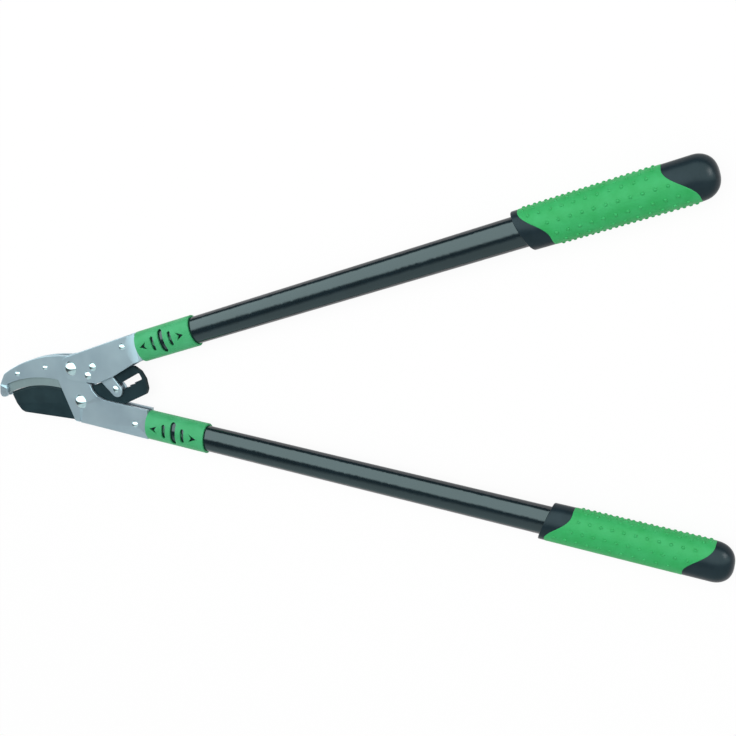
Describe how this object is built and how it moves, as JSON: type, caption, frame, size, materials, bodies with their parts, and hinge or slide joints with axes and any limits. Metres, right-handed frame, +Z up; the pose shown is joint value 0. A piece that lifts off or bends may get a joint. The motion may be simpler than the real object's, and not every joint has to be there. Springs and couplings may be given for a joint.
{
  "type": "ratchet lopper",
  "caption": "Long handled ratchet lopper with a curved hook anvil, a flat blade that a pawl link steps shut along a toothed slot, oval tube handles and bumpy soft grips.",
  "frame": {"origin": "middle of the box round the whole tool, with its blade closed", "axes": "+X from the jaw to the grips along the line that halves the angle between the handles, +Y towards the handle that moves, +Z up through the pivots as the tool lies flat"},
  "size_m": [0.7376, 0.3264, 0.024],
  "materials": {
    "plate_steel": "satin zinc-plated sheet steel",
    "anvil_steel": "ground bare steel",
    "rivet_chrome": "polished chrome-plated steel domes",
    "spacer_steel": "turned steel",
    "spring_steel": "drawn spring wire",
    "blade_coating": "low-friction dark coating, satin",
    "tube_enamel": "gloss black enamel on oval tube",
    "plug_plastic": "moulded nylon",
    "sleeve_plastic": "moulded green plastic, semi-gloss",
    "grip_plastic": "moulded dark grey plastic, satin",
    "grip_rubber": "soft green rubber with raised bumps"
  },
  "bodies": {
    "root": {"anvil_plate_front": "plate_steel", "anvil_plate_rear": "plate_steel", "anvil_bar": "anvil_steel", "anvil_rivets": "rivet_chrome", "blade_bolt": "rivet_chrome", "blade_nut": "rivet_chrome", "pivot_spacer": "spacer_steel", "lower_spacer": "spacer_steel", "lower_spacer_rivet": "rivet_chrome", "lower_tube": "tube_enamel", "lower_tube_plug": "plug_plastic", "lower_tube_rivets": "rivet_chrome", "lower_sleeve": "sleeve_plastic", "lower_grip_core": "grip_plastic", "lower_grip_cover": "grip_rubber"},
    "handle_pivot": {"handle_bolt": "rivet_chrome", "handle_nut": "rivet_chrome"},
    "upper_handle": {"handle_plate_front": "plate_steel", "handle_plate_rear": "plate_steel", "upper_spacer": "spacer_steel", "upper_spacer_rivet": "rivet_chrome", "spring_post": "rivet_chrome", "upper_tube": "tube_enamel", "upper_tube_plug": "plug_plastic", "upper_tube_rivets": "rivet_chrome", "upper_sleeve": "sleeve_plastic", "upper_grip_core": "grip_plastic", "upper_grip_cover": "grip_rubber"},
    "link_pivot": {"link_rivet": "rivet_chrome"},
    "pawl": {"pawl_link_front": "plate_steel", "pawl_link_rear": "plate_steel", "pawl_pin": "rivet_chrome", "pawl_spring": "spring_steel"},
    "blade": {"blade": "blade_coating", "blade_bush": "spacer_steel"}
  },
  "joints": [
    {"name": "handles_open", "type": "hinge", "parent": "root", "child": "handle_pivot", "pos_m": [-0.25922, 0.02152, 0], "axis": [0, 0, 1], "range_deg": [0, 42]},
    {"name": "ratchet_stroke", "type": "hinge", "parent": "handle_pivot", "child": "upper_handle", "pos_m": [-0.25922, 0.02152, 0], "axis": [0, 0, 1], "range_deg": [-10, 0]},
    {"name": "link_pivot_turn", "type": "hinge", "parent": "upper_handle", "child": "link_pivot", "pos_m": [-0.22992, 0.02257, 0], "axis": [0, 0, 1], "range_deg": [-15.8, 0.05]},
    {"name": "pawl_turn", "type": "hinge", "parent": "link_pivot", "child": "pawl", "pos_m": [-0.22992, 0.02257, 0], "axis": [0, 0, 1], "range_deg": [-0.05, 28.05]},
    {"name": "blade_turn", "type": "hinge", "parent": "root", "child": "blade", "pos_m": [-0.25792, -0.01418, 0], "axis": [0, 0, 1], "range_deg": [-0.05, 25.25]}
  ],
  "couplings": [
    {"joint": "link_pivot_turn", "follows": "handles_open", "ratio": -0.375},
    {"joint": "pawl_turn", "follows": "ratchet_stroke", "ratio": -2.8},
    {"joint": "blade_turn", "follows": "handles_open", "ratio": 0.6}
  ]
}
